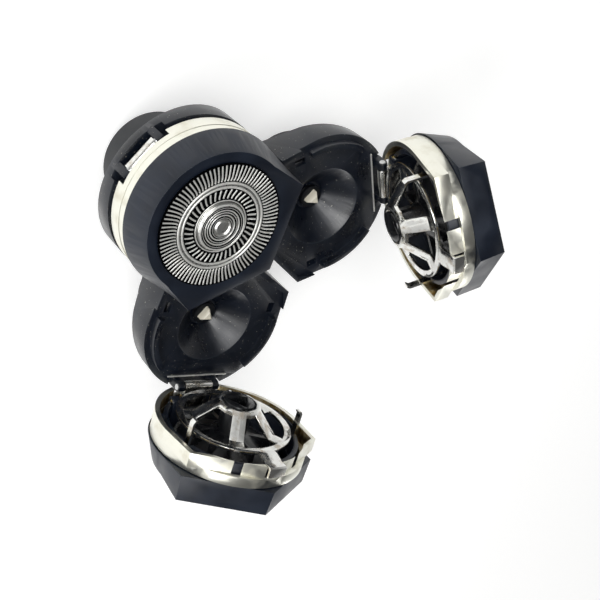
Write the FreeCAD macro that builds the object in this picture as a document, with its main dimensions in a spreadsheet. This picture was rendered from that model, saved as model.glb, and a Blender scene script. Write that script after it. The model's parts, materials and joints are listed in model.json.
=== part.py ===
import FreeCAD, Part
import math
import os
import Sketcher
from FreeCAD import Placement, Rotation, Vector

# Three-headed rotary shaving unit. The unit's axis is +Z and its coupling collar stands on z = 0.
# Each head has its own frame: x towards the unit's axis, y along the rim, z = 0 at the parting
# plane between cup and lid. Head 1 is shut, heads 2 and 3 stand open on their outer hinges.

doc = FreeCAD.newDocument("shaving_unit")
sheet = doc.addObject("Spreadsheet::Sheet", "Sizes")

# Driving sizes in millimetres and degrees
DRIVING = {
    "head_radius": 15.4, "head_gap": 0.377, "parting_gap": 0.4,
    "corner_angle": 61.308, "corner_proud": 1.4716, "inner_proud": 0.8,
    "band_height": 4.8, "facet_height": 3.0, "band_wall": 1.0, "tier_step": 0.2,
    "shell_height": 5.1, "crease_inset": 1.9, "shell_roof": 1.3, "bore_inset": 3.1, "shell_seam": 0.2,
    "guard_flange": 0.7, "guard_proud": 0.25, "guard_plate": 0.4, "face_play": 0.05,
    "slot_margin": 0.4, "slot_land": 1.4, "inner_ring_share": 0.41667, "disc_margin": 0.5,
    "disc_radius": 4.5, "disc_height": 0.6, "slot_width": 0.3, "inner_slot_width": 0.42,
    "cup_depth": 8.4, "cup_rear_depth": 3.8, "cup_wall": 1.2, "deck_drop": 1.0, "cup_inset": 0.15,
    "bowl_radius": 8.14, "bowl_depth": 5.0, "bowl_floor": 2.9, "boss_radius": 4.0,
    "rib_inset": 1.4, "rib_width": 1.2, "rib_rise": 1.4,
    "hinge_inset": 1.55, "hinge_rise": 0.1, "pin_radius": 0.6, "knuckle_radius": 1.1,
    "knuckle_length": 6.4, "ear_width": 1.4, "side_play": 0.15, "bay_half": 6.2, "bay_margin": 1.75,
    "hook_along": 3.8, "hook_inset": 0.1, "hook_length": 3.6, "hook_width": 1.2, "hook_gauge": 0.5,
    "rail_width": 0.6, "rail_drop": 4.2, "rail_groove": 1.2,
    "tilt_height": 11.0, "ball_radius": 1.8, "shaft_radius": 1.3,
    "tip_radius": 1.85, "tip_round": 1.6, "tip_depth": 3.6, "tip_height": 1.5,
    "spindle_flange": 2.3, "running_fit": 0.05, "seat_fit": 0.01,
    "cage_play": 1.0, "cage_rim": 1.2, "cage_drop": 3.9, "shoulder_play": 0.16,
    "eye_radius": 3.95, "eye_bore": 3.25, "cage_gauge": 0.5, "tongue_width": 3.7,
    "pivot_inset": 1.5, "pivot_rise": 1.0, "pivot_radius": 0.6, "pivot_arm": 5.5,
    "stem_radius": 2.95, "socket_radius": 2.55, "cutter_play": 0.7, "blade_ring_width": 2.0,
    "blade_height": 3.0, "blade_gauge": 0.3, "dish_foot": 1.6, "dish_height": 3.4,
    "gear_height": 2.0, "gear_floor": 8.2, "tooth_room": 1.1, "hub_radius": 2.9,
    "tray_floor": 6.0, "tray_wall": 1.0, "floor_plate": 1.2, "tray_top": 12.4, "cup_clearance": 1.2,
    "cover_plate": 1.2, "stub_radius": 1.2,
    "lug_gap": 0.4, "lug_width": 1.3, "lug_radius": 1.8, "tilt_pin": 0.9,
    "collar_radius": 12.0, "collar_wall": 1.8, "snap_rib": 0.5,
    "drive_hub": 4.0, "socket_bore": 2.5, "sleeve_wall": 0.8,
    "socket_depth": 5.0, "socket_start": 1.5, "key_width": 1.0,
    "screw_margin": 1.5, "screw_head": 1.4, "screw_head_rise": 0.8, "screw_shank": 0.7, "ear_radius": 2.0,
    "spring_gauge": 0.3, "spring_width": 3.0, "spring_foot": 4.6,
    "spring_inner_share": 0.18259023, "spring_outer_share": 0.56475584,
}
PINION_TEETH = 36
GEAR_TEETH = 24
GEAR_SHARE = GEAR_TEETH / (PINION_TEETH + GEAR_TEETH)

# Sizes that follow from the driving ones
DERIVED = {
    "head_pitch": "(2*head_radius+head_gap)/sqrt(3)",
    "parting_height": "tray_top+cup_clearance+cup_depth", "tilt_depth": "parting_height-tilt_height",
    "corner_along": "(head_radius+corner_proud)*cos(corner_angle)",
    "corner_side": "(head_radius+corner_proud)*sin(corner_angle)", "corner_inner": "head_radius+inner_proud",
    "crease_radius": "head_radius-crease_inset", "shell_bore": "head_radius-bore_inset",
    "shell_foot": "band_height+shell_seam", "shell_top": "shell_foot+shell_height",
    "guard_radius": "shell_bore-guard_flange", "face_bore": "guard_radius+face_play",
    "outer_slot_end": "guard_radius-slot_margin", "inner_slot_start": "disc_radius+disc_margin",
    "slots_together": "outer_slot_end-inner_slot_start-slot_land",
    "inner_slot_end": "inner_slot_start+slots_together*inner_ring_share",
    "outer_slot_start": "inner_slot_end+slot_land",
    "rail_outer": "head_radius-tier_step-band_wall-0.3",
    "rib_outer": "head_radius-rib_inset", "rib_inner": "rib_outer-rib_width",
    "hinge_back": "head_radius-hinge_inset", "bay_edge": "hinge_back-bay_margin",
    "hook_side": "shell_bore-hook_inset",
    "cage_radius": "shell_bore-cage_play", "cage_bore": "cage_radius-cage_rim",
    "cage_shoulder": "bowl_radius+shoulder_play", "pivot_back": "cage_radius-pivot_inset",
    "cutter_radius": "cage_radius-cutter_play", "cutter_bore": "cutter_radius-blade_ring_width",
    "gear_radius": "head_pitch*%g" % GEAR_SHARE, "pinion_radius": "head_pitch-gear_radius",
    "lobe_bore": "gear_radius+tooth_room", "centre_bore": "pinion_radius+tooth_room",
    "screw_pitch": "centre_bore+screw_margin",
    "lug_inner": "lobe_bore+tray_wall+lug_gap", "lug_outer": "lug_inner+lug_width",
}
OPEN_ANGLE = {1: 0.0, 2: 78.3, 3: 84.8}
AZIMUTH = {1: 90.0, 2: -30.0, 3: 210.0}
OUTER_SLOTS = 90
INNER_SLOTS = 42
OUTER_LEAN = 3
INNER_LEAN = -8
BLADES = 15
RIB_PAST_HOOK = 6.6973
RAIL_PAST_HOOK = 4.6973
RIB_END = 134
RAIL_END = 116

for row, (alias, value) in enumerate(DRIVING.items(), start=1):
    sheet.set("A%d" % row, alias)
    sheet.set("B%d" % row, "%g" % value)
    sheet.setAlias("B%d" % row, alias)
doc.recompute()


def size(alias):
    return number(alias)


def number(text):
    """The value of an expression of sheet sizes, for a sketch's first guess."""
    if isinstance(text, (int, float)):
        return float(text)
    probe = doc.getObject("Probe") or doc.addObject("App::FeaturePython", "Probe")
    if not hasattr(probe, "Amount"):
        probe.addProperty("App::PropertyFloat", "Amount")
    probe.setExpression("Amount", bind(text))
    probe.recompute()
    return float(probe.Amount)


def bind(text):
    """Write a driving size as its cell of the sheet, and a derived one as what it is worked out from."""
    if isinstance(text, (int, float)):
        return "%g" % text
    out = ""
    word = ""
    for char in text + " ":
        if char.isalnum() or char == "_":
            word += char
            continue
        if word in DERIVED:
            out += "(" + bind(DERIVED[word]) + ")"
        else:
            out += "Sizes." + word if word in DRIVING else word
        word = ""
        out += char
    return out.strip()


def finish_body(label, place):
    body = doc.addObject("PartDesign::Body", label)
    body.Label = label
    body.Placement = place
    return body


def sketch_on(body, role="XY_Plane", lift=0):
    plane = next(item for item in body.Origin.OriginFeatures if item.Role == role)
    sketch = body.newObject("Sketcher::SketchObject", "Outline")
    sketch.AttachmentSupport = [(plane, "")]
    sketch.MapMode = "FlatFace"
    if lift != 0:
        sketch.setExpression("AttachmentOffset.Base.z", bind(lift))
    return sketch


def rule(sketch, constraint, text):
    index = sketch.addConstraint(constraint)
    if not isinstance(text, (int, float)):
        sketch.setExpression("Constraints[%d]" % index, bind(text))


def pin_down(sketch, geometry, point, across, up):
    for kind, text in (("DistanceX", across), ("DistanceY", up)):
        rule(sketch, Sketcher.Constraint(kind, -1, 1, geometry, point, number(text)), text)


def add_circle(sketch, radius, across=0, up=0):
    ring = Part.Circle(Vector(number(across), number(up), 0), Vector(0, 0, 1), number(radius))
    geometry = sketch.addGeometry(ring, False)
    pin_down(sketch, geometry, 3, across, up)
    rule(sketch, Sketcher.Constraint("Radius", geometry, number(radius)), radius)


def add_polygon(sketch, points):
    corners = [Vector(number(across), number(up), 0) for across, up in points]
    edges = []
    for start, end in zip(corners, corners[1:] + corners[:1]):
        edges.append(sketch.addGeometry(Part.LineSegment(start, end), False))
    for edge, before, (across, up) in zip(edges, edges[-1:] + edges[:-1], points):
        pin_down(sketch, edge, 1, across, up)
        sketch.addConstraint(Sketcher.Constraint("Coincident", before, 2, edge, 1))


def add_shield(sketch, radius, along, side, inner):
    """Outline of a head: half a circle outside, then four straight edges to the inner corner."""
    corners = [("0", "-(%s)" % radius), (along, "-(%s)" % side), (inner, "0"), (along, side), ("0", radius)]
    places = [Vector(number(across), number(up), 0) for across, up in corners]
    edges = [sketch.addGeometry(Part.LineSegment(a, b), False) for a, b in zip(places, places[1:])]
    ring = Part.Circle(Vector(0, 0, 0), Vector(0, 0, 1), number(radius))
    arc = sketch.addGeometry(Part.ArcOfCircle(ring, math.pi / 2, 3 * math.pi / 2), False)
    sketch.addConstraint(Sketcher.Constraint("Coincident", arc, 3, -1, 1))
    rule(sketch, Sketcher.Constraint("Radius", arc, number(radius)), radius)
    sketch.addConstraint(Sketcher.Constraint("PointOnObject", arc, 1, -2))
    sketch.addConstraint(Sketcher.Constraint("PointOnObject", arc, 2, -2))
    sketch.addConstraint(Sketcher.Constraint("Coincident", edges[3], 2, arc, 1))
    sketch.addConstraint(Sketcher.Constraint("Coincident", arc, 2, edges[0], 1))
    for before, edge, (across, up) in zip(edges, edges[1:], corners[1:4]):
        sketch.addConstraint(Sketcher.Constraint("Coincident", before, 2, edge, 1))
        pin_down(sketch, edge, 1, across, up)


def extrude(body, kind, sketch, length, both_ways=False, turned=False):
    feature = body.newObject("PartDesign::" + kind, kind)
    feature.Profile = sketch
    feature.setExpression("Length", bind(length))
    feature.SideType = "Symmetric" if both_ways else "One side"
    feature.Reversed = turned
    return feature


def turn(body, kind, sketch):
    feature = body.newObject("PartDesign::" + kind, kind)
    feature.Profile = sketch
    feature.ReferenceAxis = (sketch, ["V_Axis"])
    feature.Angle = 360
    return feature


def cut_through(body, points, width, role="XZ_Plane", lift=0):
    """Cut a polygon right through, by the width, half to each side of its plane."""
    sketch = sketch_on(body, role, lift)
    add_polygon(sketch, points)
    extrude(body, "Pocket", sketch, width, both_ways=True)


def require_cut(feature):
    if feature.Shape.Volume > feature.BaseFeature.Shape.Volume - 1e-6:
        raise RuntimeError("a cut in %s takes nothing away" % feature.getParentGeoFeatureGroup().Label)


def rectangle(x_low, x_high, y_low, y_high):
    return [(x_low, y_low), (x_high, y_low), (x_high, y_high), (x_low, y_high)]


def solid(kind, place, **sizes):
    shape = doc.addObject("Part::" + kind, kind)
    for name, text in sizes.items():
        shape.setExpression(name, bind(text))
    shape.Placement = place
    return shape


def at(across=0.0, along=0.0, up=0.0, axis=Vector(0, 0, 1), angle=0.0):
    return Placement(Vector(across, along, up), Rotation(axis, angle))


def join(shapes, label="Joined", place=Placement()):
    if len(shapes) == 1:
        return shapes[0]
    fused = doc.addObject("Part::MultiFuse", label)
    fused.Label = label
    fused.Shapes = shapes
    fused.Placement = place
    return fused


def carve(label, base, tools, place=Placement()):
    cut = doc.addObject("Part::Cut", label)
    cut.Label = label
    cut.Base = base
    cut.Tool = join(tools)
    cut.Placement = place
    return cut


def plain(label, shape, place=Placement()):
    piece = doc.addObject("Part::Feature", label)
    piece.Label = label
    piece.Shape = shape
    piece.Placement = place
    return piece


def head_frame(head):
    turn_in = math.radians(AZIMUTH[head])
    foot = Vector(math.cos(turn_in), math.sin(turn_in), 0) * size("head_pitch")
    facing_in = Rotation(Vector(0, 0, 1), AZIMUTH[head] + 180)
    return Placement(foot + Vector(0, 0, size("parting_height")), facing_in)


def lid_frame(head):
    pivot = Vector(-size("hinge_back"), 0, size("hinge_rise"))
    swing = Placement(Vector(), Rotation(Vector(0, 1, 0), -OPEN_ANGLE[head]), pivot)
    return head_frame(head).multiply(swing)


ACROSS = (Vector(1, 0, 0), 90)
THIRDS = (30.0, 150.0, 270.0)
PIECES = {}


def keep(name, piece):
    PIECES[name] = piece


# Coupling collar: the open ring that plugs on the handle, with three short snap ribs on its inner wall
def coupling_collar():
    outer = solid("Cylinder", at(), Radius="collar_radius", Height="tray_floor")
    bore = solid("Cylinder", at(up=-1), Radius="collar_radius-collar_wall", Height="tray_floor+2")
    keys = []
    reach = size("collar_radius") - size("collar_wall") - size("snap_rib")
    for angle in THIRDS:
        keys.append(solid("Box", at(angle=angle).multiply(at(reach, -2, 2)), Length="collar_wall", Width="4",
                          Height="1"))
    ring = carve("collar_ring", outer, [bore])
    keep("coupling_collar", join([ring] + keys, "coupling_collar"))


# Carrier tray: a floor, one central well and three lobes with the gears' stub axles
def lobe_row(radius, height, foot, centre_radius):
    row = [solid("Cylinder", at(up=foot), Radius=centre_radius, Height=height)]
    for head in AZIMUTH:
        spot = head_frame(head).Base
        row.append(solid("Cylinder", at(spot.x, spot.y, foot), Radius=radius, Height=height))
    return row


def screw_spot(angle, up):
    reach = size("screw_pitch")
    return at(reach * math.cos(math.radians(angle)), reach * math.sin(math.radians(angle)), up)


def tilt_pin_row(extra, start, end):
    row = []
    for head in AZIMUTH:
        for side in (1, -1):
            foot = at(0, side * number(start), -size("tilt_depth"), Vector(1, 0, 0), -90 * side)
            row.append(solid("Cylinder", head_frame(head).multiply(foot), Radius="tilt_pin+" + extra,
                             Height="%s-(%s)" % (end, start)))
    return row


def carrier_tray():
    floor = size("tray_floor")
    well = floor + size("floor_plate")
    shell = lobe_row("lobe_bore+tray_wall", "tray_top-tray_floor", floor, "centre_bore+tray_wall")
    ledge = size("tray_top") - size("cover_plate")
    for angle in THIRDS:
        shell.append(solid("Cylinder", screw_spot(angle, floor), Radius="ear_radius+tray_wall",
                           Height="tray_top-tray_floor"))
    cuts = lobe_row("lobe_bore", "tray_top-tray_floor", well, "centre_bore")
    cuts.append(solid("Cylinder", at(up=floor - 1), Radius="drive_hub+running_fit", Height="floor_plate+2"))
    for angle in THIRDS:
        cuts.append(solid("Cylinder", screw_spot(angle, ledge), Radius="ear_radius", Height="tray_top"))
        cuts.append(solid("Cylinder", screw_spot(angle, well), Radius="screw_shank+seat_fit",
                          Height="tray_top"))
    cuts += tilt_pin_row("seat_fit", "lobe_bore-0.4", "lug_inner")
    tub = carve("tray_tub", join(shell), cuts)
    axles = []
    for head in AZIMUTH:
        spot = head_frame(head).Base
        axles.append(solid("Cylinder", at(spot.x, spot.y, floor + 0.5), Radius="stub_radius",
                           Height="gear_floor+0.6-tray_floor-0.5"))
        axles.append(solid("Cylinder", at(spot.x, spot.y, floor + 0.5), Radius="stub_radius*2",
                           Height="gear_floor-tray_floor-0.6"))
    keep("carrier_tray", join([tub] + axles, "carrier_tray"))


def gear_cover():
    ledge = size("tray_top") - size("cover_plate")
    plates = lobe_row("lobe_bore-side_play", "cover_plate", ledge, "centre_bore-side_play")
    for angle in THIRDS:
        plates.append(solid("Cylinder", screw_spot(angle, ledge), Radius="ear_radius-side_play",
                            Height="cover_plate"))
    holes = [solid("Cylinder", at(up=ledge - 1), Radius="stub_radius+running_fit", Height="cover_plate+2")]
    for head in AZIMUTH:
        spot = head_frame(head).Base
        holes.append(solid("Cylinder", at(spot.x, spot.y, ledge - 1), Radius="hub_radius+running_fit",
                           Height="cover_plate+2"))
    for angle in THIRDS:
        holes.append(solid("Cylinder", screw_spot(angle, ledge - 1), Radius="screw_shank+0.1",
                           Height="cover_plate+2"))
    keep("gear_cover", carve("gear_cover", join(plates), holes))


def cover_screws():
    screws = []
    for angle in THIRDS:
        screws.append(solid("Cylinder", screw_spot(angle, size("tray_top")), Radius="screw_head",
                            Height="screw_head_rise"))
        screws.append(solid("Cylinder", screw_spot(angle, size("tray_floor") + size("floor_plate") + 0.3),
                            Radius="screw_shank", Height="tray_top-tray_floor-floor_plate-0.3"))
    slots = []
    for angle in THIRDS:
        top = size("tray_top") + size("screw_head_rise") - 0.35
        for quarter in (0, 90):
            slot = screw_spot(angle, top).multiply(at(angle=quarter)).multiply(at(-0.9, -0.2, 0))
            slots.append(solid("Box", slot, Length="1.8", Width="0.4", Height="1"))
    keep("cover_screws", carve("cover_screws", join(screws), slots))


# Gear train: trapezoid teeth on pitch circles that touch half-way between the two axes
def gear_disc(teeth, pitch_radius, gap_at):
    pitch = 2 * math.pi / teeth
    module = 2 * pitch_radius / teeth
    tip = pitch_radius + 0.8 * module
    root = pitch_radius - 1.2 * module
    corners = []
    for tooth in range(teeth):
        middle = gap_at + (tooth + 0.5) * pitch
        for radius, share in ((root, -0.34), (tip, -0.13), (tip, 0.13), (root, 0.34)):
            angle = middle + share * pitch
            corners.append(Vector(radius * math.cos(angle), radius * math.sin(angle), 0))
    face = Part.Face(Part.makePolygon(corners + corners[:1]))
    return face.extrude(Vector(0, 0, size("gear_height")))


def drive_gear():
    floor = size("gear_floor")
    half_pitch = math.pi / PINION_TEETH
    disc = gear_disc(PINION_TEETH, size("pinion_radius"), math.radians(AZIMUTH[1]) + half_pitch)
    wheel = plain("pinion_teeth", disc, at(up=floor))
    hub = solid("Cylinder", at(up=size("socket_start")), Radius="drive_hub", Height="gear_floor-socket_start")
    spigot = solid("Cylinder", at(up=floor), Radius="stub_radius", Height="tray_top-gear_floor")
    shoulder = solid("Cylinder", at(up=floor), Radius="drive_hub", Height="gear_height+0.6")
    bore = solid("Cylinder", at(up=size("socket_start") - 1), Radius="socket_bore+sleeve_wall",
                 Height="socket_depth+1")
    keep("drive_gear", carve("drive_gear", join([wheel, hub, shoulder, spigot]), [bore]))


def drive_sleeve():
    foot = size("socket_start")
    outer = solid("Cylinder", at(up=foot), Radius="socket_bore+sleeve_wall", Height="socket_depth")
    bore = solid("Cylinder", at(up=foot - 1), Radius="socket_bore", Height="socket_depth+2")
    key = solid("Box", at(-size("socket_bore") - 0.4, -size("key_width") / 2, foot - 1),
                Length="2*socket_bore+0.8", Width="key_width", Height="socket_depth+2")
    keep("drive_sleeve", carve("drive_sleeve", outer, [bore, key]))


def driven_gear(head):
    floor = size("gear_floor") - size("parting_height")
    disc = gear_disc(GEAR_TEETH, size("gear_radius"), 0.0)
    wheel = plain("gear_teeth", disc, at(up=floor))
    hub_top = "parting_height-tilt_depth+ball_radius-gear_floor"
    hub = solid("Cylinder", at(up=floor), Radius="hub_radius", Height=hub_top)
    ball_foot = -size("tilt_depth") - size("ball_radius") - size("side_play")
    socket = solid("Cylinder", at(up=ball_foot), Radius="ball_radius+running_fit*2", Height="tilt_depth")
    axle = solid("Cylinder", at(up=floor - 1), Radius="stub_radius+running_fit", Height="2.2")
    name = "driven_gear_%d" % head
    keep(name, carve(name, join([wheel, hub]), [socket, axle], head_frame(head)))


def tilt_pins():
    pins = tilt_pin_row("0", "lobe_bore", "lug_outer")
    holder = doc.addObject("Part::Compound", "tilt_pins")
    holder.Label = "tilt_pins"
    holder.Links = pins
    keep("tilt_pins", holder)


# Return spring: a bent strip from the gear cover up to the underside of the cup's deck
def return_spring(head):
    gauge = size("spring_gauge")
    foot = size("tray_top") - size("parting_height") + 0.05
    under = -size("deck_drop") - size("cup_wall") - 0.1
    start = -size("spring_foot")
    bend = -size("lobe_bore")
    bowl_wall = size("bowl_radius") + size("cup_wall")
    room = size("head_radius") - size("cup_inset") - size("cup_wall") - bowl_wall
    reach = -(bowl_wall + room * size("spring_outer_share"))
    near = -(bowl_wall + room * size("spring_inner_share"))
    path = [(start, foot), (bend - 0.2, foot), (reach, under - gauge), (reach, under), (near, under),
            (near, under - gauge), (reach + 0.4, under - gauge), (bend, foot + gauge),
            (start, foot + gauge)]
    body = finish_body("return_spring_%d" % head, head_frame(head))
    sketch = sketch_on(body, "XZ_Plane")
    add_polygon(sketch, path)
    extrude(body, "Pad", sketch, "spring_width", both_ways=True)
    keep(body.Label, body)


# Cup: the lower half of a head, with the conical hair bowl round its drive tip
def cup_outline(sketch, inset):
    add_shield(sketch, "head_radius-" + inset, "corner_along-0.3*(%s)" % inset, "corner_side-(%s)" % inset,
               "corner_inner-1.1*(%s)" % inset)


def cup(head):
    body = finish_body("cup_%d" % head, head_frame(head))
    sketch = sketch_on(body, lift="-cup_depth")
    cup_outline(sketch, "cup_inset")
    extrude(body, "Pad", sketch, "cup_depth-parting_gap/2")

    rear = "-(head_radius+1)"
    flat = "boss_radius*2"
    below = "-(cup_depth+1)"
    cut_through(body, [(rear, below), (rear, "-cup_rear_depth"), (flat, "-cup_depth"), (flat, below)],
                "head_radius*4")

    sketch = sketch_on(body, "XZ_Plane")
    ceiling = "-(deck_drop+cup_wall)"
    below = "-(cup_depth+2)"
    add_polygon(sketch, [("bowl_radius+cup_wall*1.4", ceiling), ("rib_inner", ceiling), ("rib_inner", below),
                         ("boss_radius", below), ("boss_radius", "-(bowl_depth+deck_drop+cup_wall*0.6)")])
    turn(body, "Groove", sketch)

    sketch = sketch_on(body, lift="-(cup_depth-0.1)")
    add_circle(sketch, "boss_radius")
    extrude(body, "Pad", sketch, "cup_depth-deck_drop-2")

    for side in (1, -1):
        sketch = sketch_on(body, "XZ_Plane", "%d*(lug_inner+lug_outer)/2" % -side)
        toe = "-(tilt_depth+lug_radius)"
        bevel = "-(tilt_depth+0.4*lug_radius)"
        root = "-(deck_drop+0.5)"
        add_polygon(sketch, [("-lug_radius", bevel), ("-0.4*lug_radius", toe), ("0.4*lug_radius", toe),
                             ("lug_radius", bevel), ("lug_radius", root), ("-lug_radius", root)])
        extrude(body, "Pad", sketch, "lug_outer-lug_inner", both_ways=True)
    sketch = sketch_on(body, "XZ_Plane")
    add_circle(sketch, "tilt_pin+running_fit", 0, "-tilt_depth")
    extrude(body, "Pocket", sketch, "head_radius*2", both_ways=True)

    sketch = sketch_on(body)
    cup_outline(sketch, "cup_inset+cup_wall")
    extrude(body, "Pocket", sketch, "deck_drop", both_ways=False)

    sketch = sketch_on(body, "XZ_Plane")
    floor = "-(deck_drop+bowl_depth)"
    mouth = "bowl_radius+0.5*(bowl_radius-bowl_floor)/bowl_depth"
    sill = floor + "-0.3"
    add_polygon(sketch, [(0, "-deck_drop+0.5"), (mouth, "-deck_drop+0.5"), ("bowl_floor", floor),
                         ("bowl_floor", sill), ("boss_radius-cup_wall", sill),
                         ("boss_radius-cup_wall", "-(cup_depth+1)"), (0, "-(cup_depth+1)")])
    turn(body, "Groove", sketch)
    cup_rim_details(body)
    keep(body.Label, body)


def cup_rim_details(body):
    # Hinge bay behind the deck
    sketch = sketch_on(body, lift="-(parting_gap/2+2)")
    add_polygon(sketch, rectangle("-(head_radius+1)", "-bay_edge", "-bay_half", "bay_half"))
    extrude(body, "Pocket", sketch, "4", turned=True)

    # Locating ribs, one along each side
    for side in (1, -1):
        sketch = sketch_on(body, lift="-deck_drop")
        add_rib(sketch, side, "rib_inner", "rib_outer", (past_hook(RIB_PAST_HOOK), RIB_END))
        extrude(body, "Pad", sketch, "rib_rise")

    # Ears that hold the lid's hinge pin
    for side in (1, -1):
        sketch = sketch_on(body, "XZ_Plane", "%d*(knuckle_length/2+side_play+ear_width/2)" % -side)
        foot = "-(parting_gap/2+2.3)"
        add_polygon(sketch, [("-(hinge_back+0.9)", foot), ("-(hinge_back-1.2)", foot),
                             ("-(hinge_back-1)", "0.3"), ("-(hinge_back-0.5)", "hinge_rise+1"),
                             ("-(hinge_back+0.5)", "hinge_rise+1"), ("-(hinge_back+0.9)", "hinge_rise+0.2")])
        extrude(body, "Pad", sketch, "ear_width", both_ways=True)
    sketch = sketch_on(body, "XZ_Plane")
    add_circle(sketch, "pin_radius", "-hinge_back", "hinge_rise")
    extrude(body, "Pocket", sketch, "head_radius", both_ways=True)

    # Slots for the lid's snap hooks, and shallow corner recesses
    sketch = sketch_on(body)
    for side in ("", "-"):
        near = side + "(hook_side-0.8)"
        far = side + "(hook_side+0.6)"
        low, high = (near, far) if side == "" else (far, near)
        start = "hook_along-hook_width/2-0.4"
        end = "hook_along+hook_width/2+0.6"
        add_polygon(sketch, rectangle(start, end, low, high))
    extrude(body, "Pocket", sketch, "hook_length+1.4")


def past_hook(clearance):
    """Angle about the head's axis, a clearance in degrees beyond the snap hook's near edge."""
    near_edge = size("hook_along") - size("hook_width") / 2
    return math.degrees(math.atan2(size("hook_side"), near_edge)) + clearance


def add_rib(sketch, side, inner, outer, angles):
    """A strip that follows the rim on one side, between two radii and two angles."""
    turn_out = [math.radians(side * angle) for angle in angles]
    first, last = (turn_out if side > 0 else turn_out[::-1])
    edges = []
    for radius in (outer, inner):
        ring = Part.Circle(Vector(0, 0, 0), Vector(0, 0, 1), number(radius))
        arc = sketch.addGeometry(Part.ArcOfCircle(ring, first, last), False)
        sketch.addConstraint(Sketcher.Constraint("Coincident", arc, 3, -1, 1))
        rule(sketch, Sketcher.Constraint("Radius", arc, number(radius)), radius)
        for point, angle in ((1, first), (2, last)):
            share = "(%s)*%g" % (radius, math.cos(angle))
            rule(sketch, Sketcher.Constraint("DistanceX", -1, 1, arc, point, number(share)), share)
        edges.append(arc)
    for point, angle in ((1, first), (2, last)):
        ends = [Vector(number(radius) * math.cos(angle), number(radius) * math.sin(angle), 0)
                for radius in (outer, inner)]
        line = sketch.addGeometry(Part.LineSegment(*ends), False)
        sketch.addConstraint(Sketcher.Constraint("Coincident", line, 1, edges[0], point))
        sketch.addConstraint(Sketcher.Constraint("Coincident", line, 2, edges[1], point))


# Drive parts of a cup: bearing bush, hinge pin and the spindle with its three-sided tip
def spindle_bush(head):
    ring = solid("Cylinder", at(up=-size("cup_depth") + 0.1), Radius="boss_radius-cup_wall-seat_fit",
                 Height="cup_depth-deck_drop-bowl_depth-0.4")
    bore = solid("Cylinder", at(up=-size("cup_depth") - 1), Radius="shaft_radius+running_fit",
                 Height="cup_depth")
    name = "spindle_bush_%d" % head
    keep(name, carve(name, ring, [bore], head_frame(head)))


def hinge_pin(head):
    half = "knuckle_length/2+side_play+ear_width"
    foot = at(-size("hinge_back"), number(half), size("hinge_rise"), *ACROSS)
    pin = solid("Cylinder", head_frame(head).multiply(foot), Radius="pin_radius-seat_fit",
                Height="2*(%s)" % half)
    pin.Label = "hinge_pin_%d" % head
    keep(pin.Label, pin)


def three_sided(radius, up):
    corners = [Vector(radius * math.cos(angle), radius * math.sin(angle), up)
               for angle in (0, 2 * math.pi / 3, 4 * math.pi / 3)]
    return Part.makePolygon(corners + corners[:1])


def drive_spindle(head):
    top = -size("tip_depth")
    shaft = solid("Cylinder", at(up=-size("tilt_depth")), Radius="shaft_radius",
                  Height="tilt_depth-tip_depth-tip_height")
    ball = solid("Sphere", at(up=-size("tilt_depth")), Radius="ball_radius")
    flange_foot = -size("deck_drop") - size("bowl_depth") - 0.05
    flange = solid("Cylinder", at(up=flange_foot), Radius="spindle_flange",
                   Height="deck_drop+bowl_depth-tip_depth-tip_height+0.05")
    root = three_sided(size("tip_radius"), top - size("tip_height"))
    waist = three_sided(size("tip_radius"), top - size("tip_height") * 0.45)
    crown = three_sided(size("tip_radius") * 0.55, top)
    foot = Vector(0, 0, top - size("tip_height"))
    rounding = Part.makeCylinder(size("tip_round"), size("tip_height"), foot)
    prism = plain("tip_prism", Part.makeLoft([root, waist], True, True).common(rounding))
    bevel = plain("tip_bevel", Part.makeLoft([waist, crown], True, True).common(rounding))
    name = "drive_spindle_%d" % head
    keep(name, join([shaft, ball, flange, prism, bevel], name, head_frame(head)))


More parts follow.
